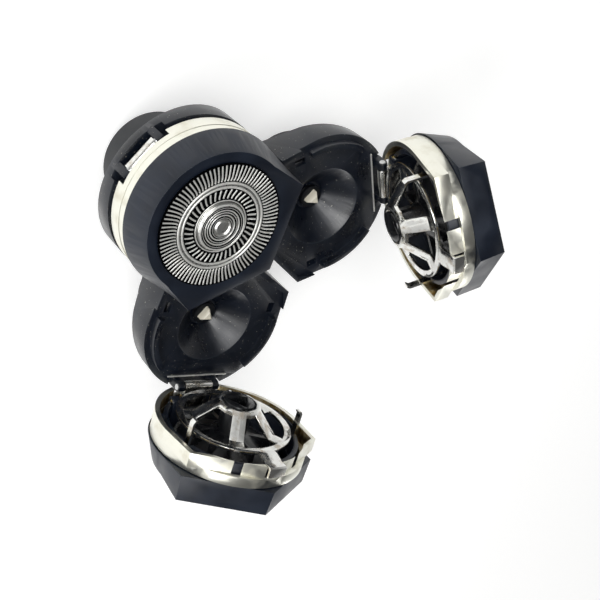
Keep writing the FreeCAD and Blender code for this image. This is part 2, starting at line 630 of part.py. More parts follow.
# Lid shell: black front moulding, widest at the band and drawn in to the crease round the face
def front_shell(head):
    body = finish_body("front_shell_%d" % head, lid_frame(head))
    foot = "shell_foot"
    low = sketch_on(body, lift=foot)
    add_shield(low, "head_radius", "corner_along", "corner_side+0.3", "corner_inner+0.4")
    high = sketch_on(body, lift="shell_top")
    add_shield(high, "crease_radius", "corner_along", "corner_side", "corner_inner")
    loft = body.newObject("PartDesign::AdditiveLoft", "Loft")
    loft.Profile = low
    loft.Sections = [high]
    loft.Ruled = True

    sketch = sketch_on(body, "XZ_Plane")
    top = "shell_top"
    add_polygon(sketch, [(0, foot + "-1"), ("shell_bore", foot + "-1"), ("shell_bore", top + "-shell_roof"),
                         ("face_bore", top + "-shell_roof"), ("face_bore", top + "+1"), (0, top + "+1")])
    turn(body, "Groove", sketch)

    # Locating rim inside the band, a grooved rail along each side of it, and the cage's two posts
    sketch = sketch_on(body, lift="1.2")
    add_circle(sketch, "shell_bore+1")
    add_circle(sketch, "shell_bore+0.1")
    extrude(body, "Pad", sketch, foot + "-1.2")
    sketch = sketch_on(body, lift=foot)
    half = "(knuckle_length/2+side_play)"
    add_polygon(sketch, rectangle("-hinge_back-0.5", "-shell_bore+1", "-" + half, half))
    for side in ("", "-"):
        near = side + "(hook_side-0.7)"
        far = side + "(hook_side+hook_gauge+0.8)"
        low, high = (near, far) if side == "" else (far, near)
        start = "hook_along-hook_width/2-0.1"
        end = "hook_along+hook_width/2+0.1"
        add_polygon(sketch, rectangle(start, end, low, high))
    extrude(body, "Pocket", sketch, foot)
    rail_span = (past_hook(RAIL_PAST_HOOK), RAIL_END)
    for side in (1, -1):
        sketch = sketch_on(body, lift="shell_foot-rail_drop")
        add_rib(sketch, side, "shell_bore+0.9", "rail_outer", rail_span)
        extrude(body, "Pad", sketch, "rail_drop")
        sketch = sketch_on(body, lift="shell_foot-rail_drop")
        add_rib(sketch, side, "rail_outer-rail_width-0.5", "rail_outer-rail_width+0.1", rail_span)
        extrude(body, "Pocket", sketch, "rail_groove", turned=True)
    for side in (1, -1):
        sketch = sketch_on(body, "XZ_Plane", "%d*(pivot_arm+1.7)" % -side)
        add_polygon(sketch, rectangle("-(pivot_back+1)", "-(pivot_back-1)", "pivot_rise-0.8", foot + "+0.5"))
        extrude(body, "Pad", sketch, "1.6", both_ways=True)
    sketch = sketch_on(body, "XZ_Plane")
    add_circle(sketch, "pivot_radius+running_fit", "-pivot_back", "pivot_rise")
    extrude(body, "Pocket", sketch, "pivot_arm*2+6", both_ways=True)
    keep(body.Label, body)


# Trim band: a faceted tier at the parting plane and a round tier against the front shell
def trim_band(head):
    body = finish_body("trim_band_%d" % head, lid_frame(head))
    sketch = sketch_on(body, lift="parting_gap/2")
    add_shield(sketch, "head_radius-tier_step", "corner_along", "corner_side-tier_step",
               "corner_inner-tier_step")
    extrude(body, "Pad", sketch, "facet_height-parting_gap/2")
    sketch = sketch_on(body, lift="facet_height-0.2")
    add_circle(sketch, "head_radius-tier_step*1.5")
    extrude(body, "Pad", sketch, "band_height-facet_height+0.2")
    sketch = sketch_on(body, lift="facet_height")
    inset = "tier_step+band_wall"
    add_shield(sketch, "head_radius-(%s)" % inset, "corner_along-0.3*band_wall", "corner_side-(%s)" % inset,
               "corner_inner-1.1*(%s)" % inset)
    extrude(body, "Pocket", sketch, "facet_height")
    sketch = sketch_on(body)
    add_circle(sketch, "head_radius-(%s)-0.1" % inset)
    extrude(body, "Pocket", sketch, "band_height*2", both_ways=True)
    cut_through(body, rectangle("-(head_radius+1)", "-hinge_back+2", "-0.5", "1.7"), "2*(bay_half-0.6)")
    cut_through(body, rectangle("head_radius-4", "corner_inner+1", "-0.5", "2.5"), "tongue_width+0.3")
    keep(body.Label, body)


def hinge_leaf(head):
    name = "hinge_leaf_%d" % head
    half = size("knuckle_length") / 2
    foot = at(-size("hinge_back"), half, size("hinge_rise"), *ACROSS)
    knuckle = solid("Cylinder", foot, Radius="knuckle_radius", Height="knuckle_length")
    plate = solid("Box", at(-size("hinge_back") + 0.5, -half, 0.2), Length="0.55", Width="knuckle_length",
                  Height="band_height-0.4")
    bore = solid("Cylinder", at(-size("hinge_back"), half + 1, size("hinge_rise"), *ACROSS),
                 Radius="pin_radius+running_fit", Height="knuckle_length+2")
    keep(name, carve(name, join([knuckle, plate]), [bore], lid_frame(head)))


# Guard: a pressed cap whose face is slotted in two rings, and its bare centre disc
def radial_slots(count, ring, width, lean_degrees):
    start = size(ring + "_slot_start")
    end = size(ring + "_slot_end")
    lean = math.radians(lean_degrees)
    wires = []
    for slot in range(count):
        angle = 2 * math.pi * slot / count
        inner = Vector(start, 0, 0)
        outer = Vector(end * math.cos(lean), end * math.sin(lean), 0)
        side = Vector(0, width / 2, 0)
        corners = [inner - side, outer - side, outer + side, inner + side]
        turned = [Rotation(Vector(0, 0, 1), math.degrees(angle)).multVec(corner) for corner in corners]
        wires.append(Part.makePolygon(turned + turned[:1]))
    return wires


def guard(head):
    name = "guard_%d" % head
    face_up = size("shell_top") + size("guard_proud")
    plate = size("guard_plate")
    rim = Part.Wire(Part.makeCircle(size("guard_radius")))
    hub = Part.Wire(Part.makeCircle(size("disc_radius") - 0.6))
    slots = radial_slots(OUTER_SLOTS, "outer", size("slot_width"), OUTER_LEAN)
    slots += radial_slots(INNER_SLOTS, "inner", size("inner_slot_width"), INNER_LEAN)
    face = Part.makeFace([rim, hub] + slots, "Part::FaceMakerBullseye").extrude(Vector(0, 0, plate))
    face.translate(Vector(0, 0, face_up - plate))
    radius = size("guard_radius")
    flange_foot = size("shell_top") - size("shell_roof") - 0.45
    flange = size("shell_bore") - 0.1
    profile = [(radius - plate, face_up - plate), (radius - plate, flange_foot), (flange, flange_foot),
               (flange, flange_foot + plate), (radius, flange_foot + plate), (radius, face_up - plate)]
    corners = [Vector(across, 0, up) for across, up in profile]
    section = Part.Face(Part.makePolygon(corners + corners[:1]))
    skirt = section.revolve(Vector(0, 0, 0), Vector(0, 0, 1), 360)
    keep(name, plain(name, face.fuse(skirt), lid_frame(head)))


def guard_disc(head):
    body = finish_body("guard_disc_%d" % head, lid_frame(head))
    sketch = sketch_on(body, "XZ_Plane")
    seat = "shell_top+guard_proud"
    radius = "disc_radius"
    points = [(0, seat), (radius, seat), (radius, seat + "+0.5*disc_height"),
              (radius + "*0.9", seat + "+disc_height")]
    for share in (0.7, 0.5, 0.3):
        points += [(radius + "*%g" % (share + 0.06), seat + "+disc_height"),
                   (radius + "*%g" % share, seat + "+0.6*disc_height"),
                   (radius + "*%g" % (share - 0.06), seat + "+disc_height")]
    points += [(0, seat + "+disc_height")]
    add_polygon(sketch, points)
    turn(body, "Revolution", sketch)
    keep(body.Label, body)


# Cutter: a black carrier with a three-sided socket, and the steel ring of blades on it
def cutter_hub(head):
    name = "cutter_hub_%d" % head
    foot = -size("cage_drop") - 0.7
    dish_foot = size("dish_foot")
    cone = {"Radius1": "stem_radius", "Radius2": "cutter_radius-0.6", "Height": "dish_height"}
    stem = solid("Cylinder", at(up=foot), Radius="stem_radius", Height="cage_drop+0.7+dish_foot+dish_height")
    dish = solid("Cone", at(up=dish_foot), **cone)
    dish_inner = solid("Cone", at(up=dish_foot + size("cup_wall")), **cone)
    ribs = []
    rib_reach = size("cutter_radius") - 2.6
    for angle in (0, 60, 120):
        ribs.append(solid("Box", at(angle=angle).multiply(at(-rib_reach, -0.5, dish_foot + 0.3)),
                          Length=2 * rib_reach, Width="1", Height="2.6"))
    socket = cutter_socket(foot)
    bowl = carve("cutter_dish", dish, [dish_inner])
    keep(name, carve(name, join([stem, bowl] + ribs), [socket], lid_frame(head)))


def cutter_socket(foot):
    face = Part.Face(three_sided(size("socket_radius"), 0))
    return plain("cutter_socket", face.extrude(Vector(0, 0, 2.6)), at(up=foot - 0.5))


def blade_ring(head):
    name = "blade_ring_%d" % head
    foot = size("dish_foot") + size("dish_height")
    ring = solid("Cylinder", at(up=foot), Radius="cutter_radius", Height="0.5")
    blades = []
    for blade in range(BLADES):
        spot = at(angle=360.0 * blade / BLADES).multiply(at(size("cutter_bore"), -0.15, foot + 0.2))
        blades.append(solid("Box", spot, Length="cutter_radius-cutter_bore", Width="blade_gauge",
                            Height="blade_height"))
    hole = solid("Cylinder", at(up=foot - 1), Radius="cutter_bore-0.4", Height="2")
    annulus = carve("blade_annulus", ring, [hole])
    keep(name, join([annulus] + blades, name, lid_frame(head)))


# Cage: the bright dished frame that holds the cutter in, with its eye, arms and latch tongue
def cutter_cage(head):
    body = finish_body("cutter_cage_%d" % head, lid_frame(head))
    sketch = sketch_on(body, "XZ_Plane")
    gauge = "cage_gauge"
    add_polygon(sketch, [("eye_bore", "-cage_drop-" + gauge), ("eye_radius", "-cage_drop-" + gauge),
                         ("cage_shoulder", "-" + gauge), ("cage_radius", "-" + gauge), ("cage_radius", "0"),
                         ("cage_shoulder-0.2", "0"), ("eye_radius-0.2", "-cage_drop"),
                         ("eye_bore", "-cage_drop")])
    turn(body, "Revolution", sketch)
    for start, end in ((-22, 22), (38, 100), (-100, -38), (120, 240)):
        cut_window(body, start, end)
    tongue = "tongue_width"
    sketch = sketch_on(body, "XZ_Plane")
    reach = "corner_inner-tier_step-0.3"
    over = "parting_gap/4"
    add_polygon(sketch, [("cage_bore+0.2", "-cage_gauge"), ("cage_radius+0.8", "-cage_gauge"),
                         (reach + "-1.7", over), (reach + "-0.3", over), (reach, over + "+0.3"),
                         (reach, "2.2"), (reach + "-0.45", "2.2"),
                         (reach + "-0.45", over + "+cage_gauge"), (reach + "-1.8", over + "+cage_gauge"),
                         ("cage_radius+0.7", "0"), ("cage_bore+0.2", "0")])
    extrude(body, "Pad", sketch, tongue, both_ways=True)
    for side in (1, -1):
        sketch = sketch_on(body, "XZ_Plane", "%d*pivot_arm" % -side)
        rear = "-(pivot_back+pivot_radius+0.1)"
        front = "-(pivot_back-pivot_radius-0.1)"
        head = "pivot_rise+pivot_radius"
        add_polygon(sketch, [(rear, "-cage_gauge"), (front + "+1", "-cage_gauge"), (front + "+1", "0"),
                             (front, "0.2"), (front, head), (rear, head)])
        extrude(body, "Pad", sketch, "1.0", both_ways=True)
        sketch = sketch_on(body, "XZ_Plane", "%d*(pivot_arm+1.3)" % -side)
        add_circle(sketch, "pivot_radius", "-pivot_back", "pivot_rise")
        extrude(body, "Pad", sketch, "2.6", both_ways=True)
    keep(body.Label, body)


def cut_window(body, start, end):
    points = []
    inner = size("eye_radius") + 0.5
    outer = size("cage_bore") - 0.1
    steps = 6
    for step in range(steps + 1):
        angle = math.radians(start + (end - start) * step / steps)
        points.append((outer * math.cos(angle), outer * math.sin(angle)))
    trim = 10 if end - start > 50 else 8
    for angle in (math.radians(end - trim), math.radians((start + end) / 2), math.radians(start + trim)):
        points.append((inner * math.cos(angle), inner * math.sin(angle)))
    sketch = sketch_on(body)
    add_polygon(sketch, points)
    extrude(body, "Pocket", sketch, "4*cage_drop", both_ways=True)


def snap_hooks(head):
    name = "snap_hooks_%d" % head
    hooks = []
    for side in (1, -1):
        body = finish_body("hook_blank_%d_%d" % (head, side + 1), Placement())
        sketch = sketch_on(body, "YZ_Plane", "hook_along-hook_width/2")
        out = "%d*" % side
        profile = [("hook_side", "4.6"), ("hook_side", "-hook_length+0.5"),
                   ("(hook_side-0.45)", "-hook_length"),
                   ("(hook_side-0.45)", "-hook_length-0.2"), ("(hook_side+0.1)", "-hook_length-0.2"),
                   ("(hook_side+hook_gauge)", "-hook_length+0.4"), ("(hook_side+hook_gauge)", "4.6")]
        add_polygon(sketch, [(out + across, up) for across, up in profile])
        extrude(body, "Pad", sketch, "hook_width")
        hooks.append(body)
    holder = doc.addObject("Part::Compound", name)
    holder.Label = name
    holder.Links = hooks
    holder.Placement = lid_frame(head)
    keep(name, holder)


def write_parts():
    doc.recompute()
    os.makedirs("parts", exist_ok=True)
    for item in doc.Objects:
        if "Invalid" in item.State or "Error" in item.State:
            raise RuntimeError("%s failed: %s" % (item.Label, item.getStatusString()))
        if item.TypeId in ("PartDesign::Pocket", "PartDesign::Groove"):
            require_cut(item)
    for name, piece in PIECES.items():
        shape = piece.Shape
        if shape.isNull() or not shape.isValid() or not shape.Solids:
            raise RuntimeError("%s has no sound shape" % name)
        print(name, len(shape.Solids), round(shape.Volume, 2))
        shape.exportStep("parts/%s.step" % name)


coupling_collar()
carrier_tray()
gear_cover()
cover_screws()
tilt_pins()
drive_gear()
drive_sleeve()
for head_number in AZIMUTH:
    driven_gear(head_number)
    return_spring(head_number)
    cup(head_number)
    spindle_bush(head_number)
    hinge_pin(head_number)
    drive_spindle(head_number)
    front_shell(head_number)
    trim_band(head_number)
    hinge_leaf(head_number)
    guard(head_number)
    guard_disc(head_number)
    cutter_hub(head_number)
    blade_ring(head_number)
    cutter_cage(head_number)
    snap_hooks(head_number)
write_parts()
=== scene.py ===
# %% [markdown]
# A rotary shaving unit, opened for cleaning
#
# The part is a plug-on shaving unit with three round heads on one carrier. One head is shut and
# shows its slotted guard. The two others are swung open, so their cups, drive tips, cages and
# cutters lie bare. This file dresses the solids of the unit: it gives every piece its finish and
# models what is too fine for them, such as the guards' lands and rounded moulded edges.
#
# The first cell loads the solids as a fixed frame. Each one already sits in its place, in metres,
# and belongs to a body that a joint may move.

import json
import math

import bmesh
import bpy
from mathutils import Matrix, Vector

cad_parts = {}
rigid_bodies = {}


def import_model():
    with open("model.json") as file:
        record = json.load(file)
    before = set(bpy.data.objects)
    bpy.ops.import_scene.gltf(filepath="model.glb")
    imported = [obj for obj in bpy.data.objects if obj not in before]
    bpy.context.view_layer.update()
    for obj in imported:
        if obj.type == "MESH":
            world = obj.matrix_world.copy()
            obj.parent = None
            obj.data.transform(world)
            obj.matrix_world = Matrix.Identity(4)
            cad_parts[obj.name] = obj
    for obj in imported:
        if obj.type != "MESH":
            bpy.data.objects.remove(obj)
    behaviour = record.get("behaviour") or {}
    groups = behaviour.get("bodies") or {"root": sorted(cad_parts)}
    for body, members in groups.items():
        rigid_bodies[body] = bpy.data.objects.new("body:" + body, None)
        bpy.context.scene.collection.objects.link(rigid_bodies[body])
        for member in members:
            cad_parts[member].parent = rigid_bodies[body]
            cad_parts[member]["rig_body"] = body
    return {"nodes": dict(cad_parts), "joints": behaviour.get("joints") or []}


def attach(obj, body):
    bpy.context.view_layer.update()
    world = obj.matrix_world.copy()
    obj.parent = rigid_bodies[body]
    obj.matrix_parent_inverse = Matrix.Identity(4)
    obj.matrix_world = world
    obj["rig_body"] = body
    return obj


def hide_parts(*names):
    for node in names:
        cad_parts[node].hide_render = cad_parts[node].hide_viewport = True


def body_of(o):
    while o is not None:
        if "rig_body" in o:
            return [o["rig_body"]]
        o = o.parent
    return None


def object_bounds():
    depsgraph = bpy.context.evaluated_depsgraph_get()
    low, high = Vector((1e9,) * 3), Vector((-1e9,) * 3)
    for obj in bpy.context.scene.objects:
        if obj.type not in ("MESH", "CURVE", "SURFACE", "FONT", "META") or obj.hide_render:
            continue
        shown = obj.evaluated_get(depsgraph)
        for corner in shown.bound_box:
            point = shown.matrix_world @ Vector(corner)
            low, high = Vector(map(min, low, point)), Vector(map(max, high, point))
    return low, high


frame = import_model()
solid_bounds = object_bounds()
MM = 0.001
HEADS = (1, 2, 3)
joints = {joint["name"]: joint for joint in frame["joints"]}

# %% [markdown]
# Where each lid and each cup stands
#
# A pattern such as turning rings has to follow the lid that it is on, and two of the lids are
# swung open. The joints tell where they are: a cutter spins about its lid's axis, and the hinge
# runs along the tangent. From these two directions comes the lid's own frame, with its origin at
# the plane where lid and cup part, x towards the unit's axis and z out through the guard.

# %% Frames of the lids and cups
CUTTER_FOOT = 5.0 * MM  # from the parting plane up to the cutter's joint


def frame_of(origin, along, up):
    inward = along.cross(up)
    turned = Matrix((inward, along, up)).transposed().to_4x4()
    return Matrix.Translation(origin) @ turned


def along_hinge(head):
    return -Vector(joints["lid_%d_open" % head]["axis"]).normalized()


LID, CUP = {}, {}
for head in HEADS:
    spin = joints["cutter_%d_spin" % head]
    up = Vector(spin["axis"]).normalized()
    LID[head] = frame_of(Vector(spin["pos_m"]) - up * CUTTER_FOOT, along_hinge(head), up)
parting = LID[1].translation.z
for head in HEADS:
    stand = Vector(joints["spindle_%d_spin" % head]["pos_m"])
    stand.z = parting
    CUP[head] = frame_of(stand, along_hinge(head), Vector((0, 0, 1)))
    print("head", head, "lid at", [round(value * 1000, 2) for value in LID[head].translation])

# %% [markdown]
# Colours and nodes
#
# Colours are written as the hex values that a paint chart would give, in sRGB, and one function
# turns them to the linear values that a shader wants. A second small function adds a node with its
# settings and links, so that a material reads as a list of what it is made of. Every noise is set
# out in the piece's own millimetres, so its size holds whatever the piece's size is.

# %% Colour and node helpers
def linear(code):
    parts = [int(code[i:i + 2], 16) / 255 for i in (1, 3, 5)]
    return tuple(((c + 0.055) / 1.055) ** 2.4 if c > 0.04045 else c / 12.92 for c in parts) + (1.0,)


def add_node(tree, kind, links=None, **settings):
    node = tree.nodes.new(kind)
    for name, value in settings.items():
        setattr(node, name, value)
    for socket, value in (links or {}).items():
        if isinstance(value, bpy.types.NodeSocket):
            tree.links.new(value, node.inputs[socket])
        else:
            node.inputs[socket].default_value = value
    return node


def new_finish(name, base, **sockets):
    """A material with one shader; the constants stand on the shader's own sockets."""
    material = bpy.data.materials.new(name)
    material.use_nodes = True
    shader = material.node_tree.nodes["Principled BSDF"]
    shader.inputs["Base Color"].default_value = linear(base)
    for socket, value in sockets.items():
        shader.inputs[socket.replace("_", " ")].default_value = value
    return material, material.node_tree, shader


def worked(tree, operation, first, second):
    """What a Math node makes of two numbers by the named operation."""
    settings = {0: first, 1: second}
    return add_node(tree, "ShaderNodeMath", settings, operation=operation).outputs["Value"]


def coordinates(tree, kind="Object"):
    return add_node(tree, "ShaderNodeTexCoord").outputs[kind]


def noise_at(tree, size_mm, detail=2.0):
    """Noise whose lumps are about size_mm across, in the piece's own millimetres."""
    settings = {"Vector": coordinates(tree), "Scale": 1 / (size_mm * MM), "Detail": detail}
    return add_node(tree, "ShaderNodeTexNoise", settings)


def spread(tree, value, low, high, start=0.35, end=0.65):
    """Map a value that runs from start to end, such as a noise, onto low to high."""
    ends = {"Value": value, "From Min": start, "From Max": end, "To Min": low, "To Max": high}
    return add_node(tree, "ShaderNodeMapRange", ends).outputs["Result"]


def blend_colours(tree, share, first, second):
    mixed = add_node(tree, "ShaderNodeMix", {"Factor": share}, data_type="RGBA")
    mixed.inputs["A"].default_value = linear(first)
    mixed.inputs["B"].default_value = linear(second)
    return mixed.outputs["Result"]


def emboss(tree, shader, height, depth_mm):
    settings = {"Height": height, "Distance": depth_mm * MM, "Strength": 1.0}
    bump = add_node(tree, "ShaderNodeBump", settings)
    tree.links.new(bump.outputs["Normal"], shader.inputs["Normal"])


def put_in_scene(name, content):
    thing = bpy.data.objects.new(name, content)
    bpy.context.scene.collection.objects.link(thing)
    return thing


def with_modifiers_applied(piece):
    """The piece's mesh as its modifiers leave it, smooth; the modifiers come off."""
    evaluated = piece.evaluated_get(bpy.context.evaluated_depsgraph_get())
    mesh = bpy.data.meshes.new_from_object(evaluated)
    piece.modifiers.clear()
    piece.data = mesh
    for face in mesh.polygons:
        face.use_smooth = True
    return mesh


# %% [markdown]
# Moulded plastics
#
# Cups and front shells are moulded ABS. Its index of refraction is about 1.54. The outside of a
# shell comes from a spark-eroded mould, which leaves a fine even grain, so it looks satin; the
# inside of a cup comes from a polished mould and shines. Grain of 0.05 mm wouldn't show in a
# picture of a whole unit, so it is drawn at 0.22 mm. Handling leaves the sheen uneven: a second,
# large noise moves the roughness, and a few pale specks of skin dust lie in the moulded surface.
# The bevelled edges of shells and cups get a paler finish, a painted edge highlight; on the
# shells it also stands for rubbing.

# %% Moulded plastics
ABS_IOR, ACETAL_IOR = 1.54, 1.48
PATCH_MM = 6.0
SPECK_MM = 0.32
SPECK_STARTS, SPECK_FULL = 0.73, 0.77
DUST = "#a9a79c"


def moulded(name, base, worn, roughness, grain_mm, grain_depth_mm, dust=0.0):
    material, tree, shader = new_finish(name, base, IOR=ABS_IOR)
    grain = noise_at(tree, grain_mm, 3)
    patches = noise_at(tree, PATCH_MM, 4)
    colour = blend_colours(tree, spread(tree, patches.outputs["Fac"], 0, 1), base, worn)
    if dust:
        specks = noise_at(tree, SPECK_MM, 1)
        dusted = add_node(tree, "ShaderNodeMix", {"A": colour, "B": linear(DUST)}, data_type="RGBA")
        share = spread(tree, specks.outputs["Fac"], 0, dust, SPECK_STARTS, SPECK_FULL)
        tree.links.new(share, dusted.inputs["Factor"])
        colour = dusted.outputs["Result"]
    tree.links.new(colour, shader.inputs["Base Color"])
    sheen = spread(tree, patches.outputs["Fac"], roughness - 0.07, roughness + 0.08)
    tree.links.new(sheen, shader.inputs["Roughness"])
    emboss(tree, shader, grain.outputs["Fac"], grain_depth_mm)
    return material


satin_abs = moulded("satin_moulded_abs", "#080f1b", "#0e1827",
                    roughness=0.40, grain_mm=0.22, grain_depth_mm=0.005)
# Pale finish for the shells' bevelled edges: partly rubbed wear, partly a painted highlight.
shell_bevel_highlight = moulded("shell_bevel_wear_and_painted_highlight", "#6f757b", "#4a5058",
                     roughness=0.30, grain_mm=0.3, grain_depth_mm=0.003)
polished_abs = moulded("polished_moulded_abs", "#050912", "#0b121e",
                       roughness=0.32, grain_mm=0.5, grain_depth_mm=0.004, dust=0.7)
# Paler finish for the cups' bevelled edges: a painted edge highlight.
cup_bevel_highlight = moulded("cup_bevel_painted_highlight", "#3c434c", "#1c222b",
                   roughness=0.22, grain_mm=0.6, grain_depth_mm=0.003)
matt_abs = moulded("matt_moulded_abs", "#0e1116", "#15191f",
                   roughness=0.52, grain_mm=0.25, grain_depth_mm=0.012)
cutter_abs = moulded("black_cutter_plastic", "#08090b", "#111317",
                     roughness=0.28, grain_mm=0.4, grain_depth_mm=0.004, dust=0.3)
white_acetal = moulded("natural_acetal", "#dcdad0", "#cfcbbc",
                       roughness=0.38, grain_mm=0.4, grain_depth_mm=0.004)


def tipped(name, tip, stem, tip_from_mm):
    """A pale moulding coloured near-black below a given height: the tip alone stays pale."""
    material, tree, shader = new_finish(name, tip, IOR=ACETAL_IOR, Roughness=0.32)
    height = add_node(tree, "ShaderNodeSeparateXYZ", {"Vector": coordinates(tree)}).outputs["Z"]
    share = worked(tree, "GREATER_THAN", height, tip_from_mm * MM)
    tree.links.new(blend_colours(tree, share, stem, tip), shader.inputs["Base Color"])
    emboss(tree, shader, noise_at(tree, 0.3, 2).outputs["Fac"], 0.004)
    return material


ivory_acetal = tipped("ivory_tip", "#d5d0bf", "#0b0d11", tip_from_mm=16.9)
print("plastics made")

# %% [markdown]
# Metals
#
# The trim band is plated plastic with a satin, slightly warm chrome; the cages, hinge leaves and
# hooks are bright pressed steel. A metal takes its colour from what it reflects, so its base is
# nearly white and its roughness does the work. The cage has been in use: hair dust and skin oil
# stain it brown and dull in places, which one noise makes by mixing the stain in and roughening it.
# The faces of the trim bands that look towards the lid's axis are painted amber, a painted warm
# reflection. The guards and their discs were faced on a lathe and carry fine rings; the rings over
# their slots and hollows are painted dark, a painted shade.

# %% Plated and pressed metals
STAINED = (0.50, 0.68)  # where in the noise the stain begins and where it is full
DULLED = (0.45, 0.7)  # the same for the roughness that comes with it
SCRATCH_MM = 0.12


def metal(name, base, stain, roughness, stain_share, lump_mm, metallic=1.0):
    material, tree, shader = new_finish(name, base, Metallic=metallic)
    lumps = noise_at(tree, lump_mm, 5).outputs["Fac"]
    mask = spread(tree, lumps, 0, stain_share, *STAINED)
    tree.links.new(blend_colours(tree, mask, base, stain), shader.inputs["Base Color"])
    sheen = spread(tree, lumps, roughness, roughness + 0.22, *DULLED)
    tree.links.new(sheen, shader.inputs["Roughness"])
    emboss(tree, shader, noise_at(tree, SCRATCH_MM, 2).outputs["Fac"], 0.002)
    return material


bright_chrome = metal("bright_pressed_chrome", "#e2e2de", "#94794d",
                      roughness=0.12, stain_share=0.5, lump_mm=1.8)
turned_steel = metal("turned_steel", "#c3c4c4", "#8f8a80",
                     roughness=0.22, stain_share=0.4, lump_mm=1.0)
blade_steel = metal("ground_blade_steel", "#cfd0cf", "#7d7263",
                    roughness=0.16, stain_share=0.6, lump_mm=0.8)
spring_steel = metal("rolled_spring_steel", "#a8a9a8", "#6c675e",
                     roughness=0.28, stain_share=0.5, lump_mm=1.4)
# Metallic 0.7 leaves a lit share of the near-white base: a painted sheen that makes lands, ring
# beads and strips bright.
painted_sheen_steel = metal("ground_steel_with_painted_sheen", "#f3f3ef", "#b3ac9b",
                   roughness=0.28, stain_share=0.3, lump_mm=0.7, metallic=0.7)


def from_axis(tree, head):
    """Vector from the lid's own axis straight out to the point, in metres."""
    back = LID[head].inverted()
    settings = {"Vector": coordinates(tree), "Location": back.translation,
                "Rotation": back.to_euler()}
    place = add_node(tree, "ShaderNodeMapping", settings, vector_type="POINT")
    parts = add_node(tree, "ShaderNodeSeparateXYZ", {"Vector": place.outputs["Vector"]}).outputs
    flat = add_node(tree, "ShaderNodeCombineXYZ", {"X": parts["X"], "Y": parts["Y"]})
    return flat.outputs["Vector"]


def radius_in_lid(tree, head):
    length = add_node(tree, "ShaderNodeVectorMath", {0: from_axis(tree, head)}, operation="LENGTH")
    return length.outputs["Value"]


# A face looks inwards when its normal times the vector from the axis, in metres, is below this.
INWARD = -0.005
BAND_CLEAN, BAND_WORN = "#e9e8dc", "#c9c3ae"
AMBER_DARK, AMBER_PALE = "#a08045", "#d9cba4"


def band_chrome(head):
    """Warm satin chrome outside; the faces that look inwards are painted amber, a painted
    reflection.
    """
    material, tree, shader = new_finish("satin_warm_chrome_%d" % head, BAND_CLEAN, Metallic=1.0)
    lumps = noise_at(tree, 3.2, 5).outputs["Fac"]
    clean = blend_colours(tree, spread(tree, lumps, 0, 0.5, *STAINED), BAND_CLEAN, BAND_WORN)
    settings = {"Vector": coordinates(tree, "Normal"), "Rotation": LID[head].inverted().to_euler()}
    normal = add_node(tree, "ShaderNodeMapping", settings, vector_type="VECTOR").outputs["Vector"]
    outward = add_node(tree, "ShaderNodeVectorMath", {0: from_axis(tree, head), 1: normal},
                       operation="DOT_PRODUCT").outputs["Value"]
    # Faces that look inwards are painted amber: a painted warm reflection.
    within = worked(tree, "LESS_THAN", outward, INWARD)
    amber = add_node(tree, "ShaderNodeMix", {"Factor": within, "A": clean}, data_type="RGBA")
    fine = spread(tree, noise_at(tree, 1.2, 4).outputs["Fac"], 0, 1)
    tree.links.new(blend_colours(tree, fine, AMBER_DARK, AMBER_PALE), amber.inputs["B"])
    tree.links.new(amber.outputs["Result"], shader.inputs["Base Color"])
    tree.links.new(spread(tree, lumps, 0.30, 0.5, *DULLED), shader.inputs["Roughness"])
    emboss(tree, shader, noise_at(tree, SCRATCH_MM, 2).outputs["Fac"], 0.004)
    return material


satin_chrome = {head: band_chrome(head) for head in HEADS}


def faced_steel(stem, head, base, stain, ring_mm, ring_depth_mm, roughness, dark_tracks):
    """Steel faced on a lathe: fine rings about the lid's own axis, with painted shade on the dark
    tracks.
    """
    material, tree, shader = new_finish("%s_%d" % (stem, head), base, Metallic=1.0)
    radius = radius_in_lid(tree, head)
    turns = worked(tree, "MULTIPLY", radius, 2 * math.pi / (ring_mm * MM))
    rings = add_node(tree, "ShaderNodeMath", {0: turns}, operation="SINE").outputs["Value"]
    lumps = noise_at(tree, 0.9, 4).outputs["Fac"]
    colour = blend_colours(tree, spread(tree, lumps, 0, 0.5, 0.5, 0.7), base, stain)
    # Each dark track is painted shade over the slots and between the rings.
    for inner_mm, outer_mm in dark_tracks:
        within = {0: radius, 1: (inner_mm + outer_mm) / 2 * MM, 2: (outer_mm - inner_mm) / 2 * MM}
        track = add_node(tree, "ShaderNodeMath", within, operation="COMPARE").outputs["Value"]
        shades = {"Factor": track, "A": colour, "B": linear(PAINTED_SLOT_SHADE)}
        colour = add_node(tree, "ShaderNodeMix", shades, data_type="RGBA").outputs["Result"]
    tree.links.new(colour, shader.inputs["Base Color"])
    tree.links.new(spread(tree, lumps, roughness, roughness + 0.15), shader.inputs["Roughness"])
    emboss(tree, shader, rings, ring_depth_mm)
    return material


# Rings of the face over the slots and hollows, painted dark as painted shade: inner and outer
# radius in mm.
GUARD_TRACKS = ((4.6, 7.05), (8.3, 12.0))
DISC_TRACKS = ((1.7, 4.0),)
PAINTED_SLOT_SHADE = "#141518"
guard_steel, disc_steel = {}, {}
for head in HEADS:
    guard_steel[head] = faced_steel("faced_guard_steel", head, "#d8d8d5", "#8a8478", ring_mm=0.35,
                                    ring_depth_mm=0.002, roughness=0.24, dark_tracks=GUARD_TRACKS)
    disc_steel[head] = faced_steel("faced_disc_steel", head, "#dadad7", "#9b968a", ring_mm=0.42,
                                   ring_depth_mm=0.003, roughness=0.26, dark_tracks=DISC_TRACKS)
print("metals made")

# %% [markdown]
# Finishes for the solids
#
# Each solid that keeps its own mesh gets its finish by filling its material slots. The dictionary
# says which sub-part is made of what; the number at a node's end is the head that it belongs to.

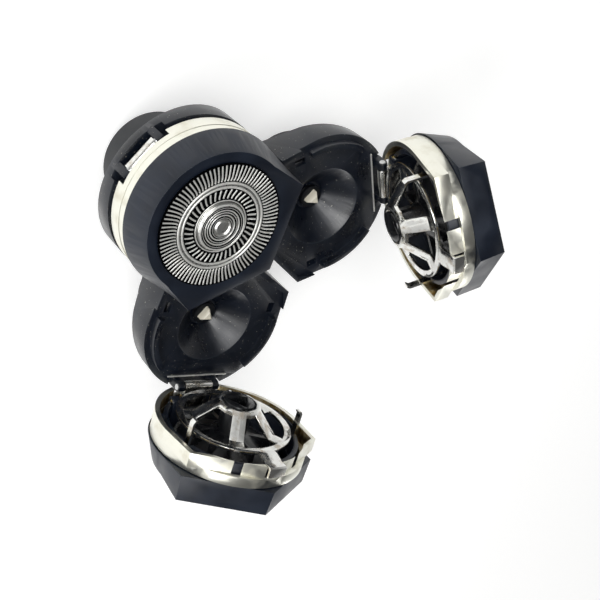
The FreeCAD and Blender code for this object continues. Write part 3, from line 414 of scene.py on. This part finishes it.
# %% Give every solid its finish
FINISHES = {
    "coupling_collar": matt_abs, "carrier_tray": matt_abs, "gear_cover": matt_abs,
    "cover_screws": turned_steel, "tilt_pins": turned_steel, "drive_gear": white_acetal,
    "drive_sleeve": turned_steel, "driven_gear": white_acetal, "return_spring": spring_steel,
    "cup": polished_abs, "spindle_bush": polished_abs, "hinge_pin": turned_steel,
    "drive_spindle": ivory_acetal, "front_shell": satin_abs, "trim_band": satin_chrome,
    "hinge_leaf": bright_chrome, "guard": guard_steel, "guard_disc": disc_steel,
    "cutter_hub": cutter_abs, "blade_ring": blade_steel, "cutter_cage": bright_chrome,
    "snap_hooks": bright_chrome,
}


def finish_for(node):
    stem, _, last = node.rpartition("_")
    if last.isdigit():
        chosen = FINISHES[stem]
        return chosen[int(last)] if isinstance(chosen, dict) else chosen
    return FINISHES[node]


def coat(piece, material):
    piece.data.materials.clear()
    piece.data.materials.append(material)


for name, node in frame["nodes"].items():
    coat(node, finish_for(name))
print("finishes given to", len(frame["nodes"]), "solids")

# %% [markdown]
# Rounded edges
#
# A moulded or pressed edge is never perfectly sharp: a radius of a tenth of a millimetre catches
# the light as a thin bright line, and that line is most of what the eye reads as plastic or steel.
# So the main shells are copied, their loose triangles are merged back to flat faces, and a Bevel
# modifier rounds every edge that turns by more than an angle. The copy keeps the solid's form and
# stands for it.

# %% Round the edges of the main shells
EDGE_ANGLE = math.radians(32)
FLAT_ANGLE = math.radians(0.6)
SAME_POINT = 2e-6  # corners nearer than this, in metres, are one corner


def softened(node, radius_mm, edge_material=None):
    source = frame["nodes"][node]
    shell = bmesh.new()
    shell.from_mesh(source.data)
    bmesh.ops.remove_doubles(shell, verts=shell.verts, dist=SAME_POINT)
    bmesh.ops.dissolve_limit(shell, angle_limit=FLAT_ANGLE, verts=shell.verts, edges=shell.edges)
    mesh = bpy.data.meshes.new(node + "_rounded")
    shell.to_mesh(mesh)
    shell.free()
    piece = put_in_scene(node + "_rounded", mesh)
    bevel = piece.modifiers.new("edge", "BEVEL")
    bevel.width = radius_mm * MM
    bevel.segments = 2
    bevel.limit_method = "ANGLE"
    bevel.angle_limit = EDGE_ANGLE
    bevel.miter_outer = "MITER_ARC"
    bevel.use_clamp_overlap = True
    coat(piece, finish_for(node))
    if edge_material:
        mesh.materials.append(edge_material)
        bevel.material = 1
    with_modifiers_applied(piece).set_sharp_from_angle(angle=EDGE_ANGLE)
    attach(piece, body_of(source)[0])
    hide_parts(node)
    return piece


# Each kind of shell with its edge radius in mm, and the paler finish of the bevelled edges of
# shells
# and cups: a painted edge highlight, which on the shells also stands for rubbing.
ROUNDED = {"cup": 0.16, "front_shell": 0.18, "trim_band": 0.12, "cutter_cage": 0.12,
           "hinge_leaf": 0.08, "drive_spindle": 0.08, "cutter_hub": 0.08}
BEVEL_HIGHLIGHTS = {"front_shell": shell_bevel_highlight, "cup": cup_bevel_highlight}
for stem, radius in ROUNDED.items():
    for head in HEADS:
        piece = softened("%s_%d" % (stem, head), radius, BEVEL_HIGHLIGHTS.get(stem))
        if head == 1:
            print("rounded", stem, len(piece.data.polygons), "faces")

# %% [markdown]
# Slotted guard and disc rings
#
# The guard's face is a ring of ninety narrow ground lands with curved inner ends, a plain ring
# with a bright line at each side, a second ring of short leaning bars, and a centre disc with
# turned rings round a bare middle. All of it repeats, so it is grown by two small node groups: one
# sets curved bars round a circle, the other lays round beads in a row of rings. Both take their
# sizes as named inputs. The lands stand between the slots that are cut in the solid and rise
# 0.08 mm above its face.

# %% Node groups that grow what repeats
def new_growth(name, labels):
    tree = bpy.data.node_groups.new(name, "GeometryNodeTree")
    tree.interface.new_socket(name="Geometry", in_out="INPUT", socket_type="NodeSocketGeometry")
    keys = {}
    for label, kind in labels.items():
        socket_type = "NodeSocket" + kind
        socket = tree.interface.new_socket(name=label, in_out="INPUT", socket_type=socket_type)
        keys[label] = socket.identifier
    tree.interface.new_socket(name="Geometry", in_out="OUTPUT", socket_type="NodeSocketGeometry")
    return tree, keys, add_node(tree, "NodeGroupInput").outputs


def finish_growth(tree, shape, given):
    real = add_node(tree, "GeometryNodeRealizeInstances", {"Geometry": shape})
    painted = add_node(tree, "GeometryNodeSetMaterial", {
        "Geometry": real.outputs["Geometry"], "Material": given["Finish"]})
    add_node(tree, "NodeGroupOutput", {"Geometry": painted.outputs["Geometry"]})


def bars_growth():
    labels = {"Count": "Int", "Radius": "Float", "Length": "Float", "Width": "Float",
              "Height": "Float", "Hook": "Float", "Lean": "Float", "Finish": "Material"}
    tree, keys, given = new_growth("ring_of_bars", labels)
    half = worked(tree, "MULTIPLY", given["Length"], 0.5)
    back = worked(tree, "MULTIPLY", half, -1.0)
    far = add_node(tree, "ShaderNodeCombineXYZ", {"X": half})
    near = add_node(tree, "ShaderNodeCombineXYZ", {"X": back})
    hooked = add_node(tree, "ShaderNodeCombineXYZ", {"X": back, "Y": given["Hook"]})
    path = add_node(tree, "GeometryNodeCurveQuadraticBezier", {
        "Start": hooked.outputs["Vector"], "Middle": near.outputs["Vector"],
        "End": far.outputs["Vector"], "Resolution": 6})
    outline = add_node(tree, "GeometryNodeCurvePrimitiveCircle", {"Resolution": 8})
    tree.links.new(worked(tree, "MULTIPLY", given["Width"], 0.5), outline.inputs["Radius"])
    bar = add_node(tree, "GeometryNodeCurveToMesh", {
        "Curve": path.outputs["Curve"], "Profile Curve": outline.outputs["Curve"],
        "Fill Caps": True})
    squash = add_node(tree, "ShaderNodeCombineXYZ", {"X": 1.0, "Y": 1.0})
    tree.links.new(worked(tree, "DIVIDE", given["Height"], given["Width"]), squash.inputs["Z"])
    flat = add_node(tree, "GeometryNodeTransform", {
        "Geometry": bar.outputs["Mesh"], "Scale": squash.outputs["Vector"]})
    spots = add_node(tree, "GeometryNodeMeshCircle", {
        "Vertices": given["Count"], "Radius": given["Radius"]})
    pitch = worked(tree, "DIVIDE", 2 * math.pi, given["Count"])
    index = add_node(tree, "GeometryNodeInputIndex").outputs["Index"]
    angle = worked(tree, "ADD", worked(tree, "MULTIPLY", index, pitch), given["Lean"])
    turned = add_node(tree, "ShaderNodeCombineXYZ", {"Z": angle})
    placed = add_node(tree, "GeometryNodeInstanceOnPoints", {
        "Points": spots.outputs["Mesh"], "Instance": flat.outputs["Geometry"],
        "Rotation": turned.outputs["Vector"]})
    finish_growth(tree, placed.outputs["Instances"], given)
    return tree, keys


def beads_growth():
    labels = {"Count": "Int", "First": "Float", "Step": "Float", "Bead": "Float",
              "Finish": "Material"}
    tree, keys, given = new_growth("row_of_rings", labels)
    spots = add_node(tree, "GeometryNodePoints", {"Count": given["Count"]})
    circle = add_node(tree, "GeometryNodeCurvePrimitiveCircle", {"Resolution": 96, "Radius": 1.0})
    index = add_node(tree, "GeometryNodeInputIndex").outputs["Index"]
    radius = worked(tree, "ADD", given["First"], worked(tree, "MULTIPLY", index, given["Step"]))
    scale = add_node(tree, "ShaderNodeCombineXYZ", {"X": radius, "Y": radius, "Z": 1.0})
    placed = add_node(tree, "GeometryNodeInstanceOnPoints", {
        "Points": spots.outputs["Points"], "Instance": circle.outputs["Curve"],
        "Scale": scale.outputs["Vector"]})
    rings = add_node(tree, "GeometryNodeRealizeInstances", {
        "Geometry": placed.outputs["Instances"]})
    outline = add_node(tree, "GeometryNodeCurvePrimitiveCircle", {
        "Resolution": 8, "Radius": given["Bead"]})
    beads = add_node(tree, "GeometryNodeCurveToMesh", {
        "Curve": rings.outputs["Geometry"], "Profile Curve": outline.outputs["Curve"]})
    finish_growth(tree, beads.outputs["Mesh"], given)
    return tree, keys


BARS, BEADS = bars_growth(), beads_growth()
print("growths", BARS[0].name, BEADS[0].name)

# %% Grow the guards' faces
def grow(name, growth, place, node, slot_name, **values):
    """A plain mesh grown by a node group, carried to its place, moving with a node's body."""
    tree, keys = growth
    piece = put_in_scene(name, bpy.data.meshes.new(name))
    modifier = piece.modifiers.new("growth", "NODES")
    modifier.node_group = tree
    for label, value in values.items():
        modifier[keys[label]] = value
    with_modifiers_applied(piece).transform(place)
    coat(piece, values["Finish"])
    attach(piece, body_of(frame["nodes"][node])[0])


def height_on(node, head):
    back = LID[head].inverted()
    return max((back @ vertex.co).z for vertex in frame["nodes"][node].data.vertices)


def on_face(node, head, proud_mm, turn=0.0):
    up = Vector((0, 0, height_on(node, head) + proud_mm * MM))
    return LID[head] @ Matrix.Translation(up) @ Matrix.Rotation(turn, 4, "Z")


# Rows of lands: how many, their lean in degrees, and their sizes in mm. Hook says how far the inner
# end curves aside.
LANDS = {
    "outer_lands": (90, 4, {
        "Radius": 9.92, "Length": 2.86, "Width": 0.30, "Height": 0.16, "Hook": 0.34}),
    "inner_lands": (42, -20, {
        "Radius": 6.1, "Length": 1.6, "Width": 0.32, "Height": 0.16, "Hook": -0.2}),
}
# Rows of rings: what they lie on, how many, how far they stand proud of it and their sizes, in mm.
RINGS = {
    "ring_lines": ("guard", 2, -0.03, {"First": 7.3, "Step": 0.74, "Bead": 0.2}),
    "inner_line": ("guard", 1, 0.0, {"First": 4.85, "Step": 0.0, "Bead": 0.12}),
    "disc_rings": ("guard_disc", 6, -0.12, {"First": 1.9, "Step": 0.46, "Bead": 0.14}),
}


def in_metres(sizes_mm):
    return {label: value * MM for label, value in sizes_mm.items()}


for head in HEADS:
    guard = "guard_%d" % head
    for row, (count, lean, sizes_mm) in LANDS.items():
        grow("%s_%d" % (row, head), BARS, on_face(guard, head, 0.0, math.pi / count), guard,
             "guard_steel", Count=count, Lean=math.radians(lean), Finish=painted_sheen_steel,
             **in_metres(sizes_mm))
    for row, (stem, count, proud_mm, sizes_mm) in RINGS.items():
        node = "%s_%d" % (stem, head)
        grow("%s_%d" % (row, head), BEADS, on_face(node, head, proud_mm), node,
             "guard_steel", Count=count, Finish=painted_sheen_steel, **in_metres(sizes_mm))
print("lands", [count for count, lean, sizes_mm in LANDS.values()])

# %% [markdown]
# Strips that paint the hinge bays' edge highlight
#
# A thin bright strip along the inner edge of each cup's hinge bay, where the deck ends, is a
# painted highlight of that edge.

# %% Strips painting the bays' edge highlight
STRIP_AT_MM = (-11.9, 0, -0.85)
STRIP_SIZE_MM = (0.26, 14.0, 0.3)
STRIP_EDGE = 0.05 * MM


def box_piece(name, frame_at, centre_mm, size_mm, material, node):
    mesh = bpy.data.meshes.new(name)
    shell = bmesh.new()
    bmesh.ops.create_cube(shell, size=1.0)
    bmesh.ops.scale(shell, vec=Vector(size_mm) * MM, verts=shell.verts)
    bmesh.ops.bevel(shell, geom=shell.edges[:], offset=STRIP_EDGE, segments=2, affect="EDGES",
                    profile=0.5)
    shell.to_mesh(mesh)
    shell.free()
    mesh.transform(frame_at @ Matrix.Translation(Vector(centre_mm) * MM))
    piece = put_in_scene(name, mesh)
    coat(piece, material)
    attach(piece, body_of(frame["nodes"][node])[0])


# Each strip is a painted highlight along the bay's inner edge.
for head in HEADS:
    box_piece("bay_highlight_strip_%d" % head, CUP[head], STRIP_AT_MM, STRIP_SIZE_MM, painted_sheen_steel,
              "cup_%d" % head)
print("strips", len(HEADS))

# %% [markdown]
# Floor, light and camera
#
# The unit stands on its collar on a plain white surface, as on a photographer's table. The floor
# is a large sheet that keeps the soft shadow; what the camera and the chrome see of it is lifted
# to white. Chrome shows what stands round it, so the world is white at the horizon and dim
# overhead: that gives the metal its dark and bright bands and leaves the black plastic deep.

# %% Floor
FLOOR_HALF = 2.5  # metres from the middle to each side
FLOOR_AT = solid_bounds[0][2] - 0.02 * MM
PAPER_LIFT = 0.42
PURE_WHITE = (1, 1, 1, 1)
floor_mesh = bpy.data.meshes.new("floor")
corners = [(x * FLOOR_HALF, y * FLOOR_HALF, FLOOR_AT)
           for x, y in ((-1, -1), (1, -1), (1, 1), (-1, 1))]
floor_mesh.from_pydata(corners, [], [(0, 1, 2, 3)])
floor = put_in_scene("floor", floor_mesh)
paper, paper_tree, paper_shader = new_finish("white_paper", "#e9e9e8", Roughness=0.9)
tooth = noise_at(paper_tree, 3.0, 2)
seen = add_node(paper_tree, "ShaderNodeLightPath").outputs
lift = worked(paper_tree, "MAXIMUM", seen["Is Camera Ray"],
              worked(paper_tree, "MAXIMUM", seen["Is Glossy Ray"], seen["Is Transmission Ray"]))
lifted = worked(paper_tree, "MULTIPLY", lift, PAPER_LIFT)
paper_tree.links.new(lifted, paper_shader.inputs["Emission Strength"])
paper_shader.inputs["Emission Color"].default_value = PURE_WHITE
emboss(paper_tree, paper_shader, tooth.outputs["Fac"], 0.05)
coat(floor, paper)

# %% World and lamps
# The sky's heights run from -1 below to 1 overhead.
HORIZON_HEIGHT, DIM_HEIGHT = -0.1, 0.62
HORIZON_GLOW, OVERHEAD_GLOW = 1.0, 0.10
MIX_A, MIX_B = 2, 3  # the Mix node's two number sockets
world = bpy.data.worlds.new("studio")
bpy.context.scene.world = world
world.use_nodes = True
sky = world.node_tree
backdrop = sky.nodes["Background"]
direction = coordinates(sky, "Generated")
height = add_node(sky, "ShaderNodeSeparateXYZ", {"Vector": direction}).outputs["Z"]
glow = spread(sky, height, HORIZON_GLOW, OVERHEAD_GLOW, HORIZON_HEIGHT, DIM_HEIGHT)
to_camera = add_node(sky, "ShaderNodeLightPath").outputs["Is Camera Ray"]
strength = add_node(sky, "ShaderNodeMix", {"Factor": to_camera, MIX_A: glow, MIX_B: 1.0})
sky.links.new(strength.outputs[0], backdrop.inputs["Strength"])
backdrop.inputs["Color"].default_value = PURE_WHITE


CENTRE = Vector((0, 0, 0.02))


def lamp(name, place, size_m, watts):
    """A soft lamp that faces the unit; its place and size are in metres."""
    light = bpy.data.lights.new(name, "AREA")
    light.shape = "RECTANGLE"
    light.size, light.size_y = size_m
    light.energy = watts
    holder = put_in_scene(name, light)
    holder.location = place
    holder.rotation_euler = (CENTRE - Vector(place)).to_track_quat("-Z", "Y").to_euler()


lamp("key_softbox", (0.0, 0.48, 0.62), size_m=(0.5, 0.4), watts=4.4)
lamp("fill_softbox", (-0.4, 0.25, 0.45), size_m=(0.3, 0.3), watts=1.2)
lamp("rim_strip", (-0.3, -0.5, 0.1), size_m=(0.5, 0.08), watts=0.6)

# %% [markdown]
# Camera
#
# The view is the photograph's: from the side of the shut head, above it, and rolled so that the
# shut head lies at the upper left. A long lens keeps the heads' proportions.

# %% Camera
CAMERA_AT = Vector((4.2, 134.3, 157.2)) * MM
LOOKS_AT = Vector((-0.64, -9.18, 32.8)) * MM
CAMERA_ROLL = math.radians(-133.76)
camera_data = bpy.data.cameras.new("camera")
camera_data.lens = 60.76
camera_data.sensor_width = 36.0
camera_data.clip_start = 0.01
camera = put_in_scene("camera", camera_data)
forward = (LOOKS_AT - CAMERA_AT).normalized()
level_right = forward.cross(Vector((0, 0, 1))).normalized()
level_up = level_right.cross(forward)
camera_up = level_up * math.cos(CAMERA_ROLL) + level_right * math.sin(CAMERA_ROLL)
camera_right = forward.cross(camera_up)
camera.matrix_world = Matrix.Translation(CAMERA_AT) @ Matrix(
    (camera_right, camera_up, -forward)).transposed().to_4x4()
bpy.context.scene.camera = camera
bpy.context.scene.view_settings.view_transform = "Standard"
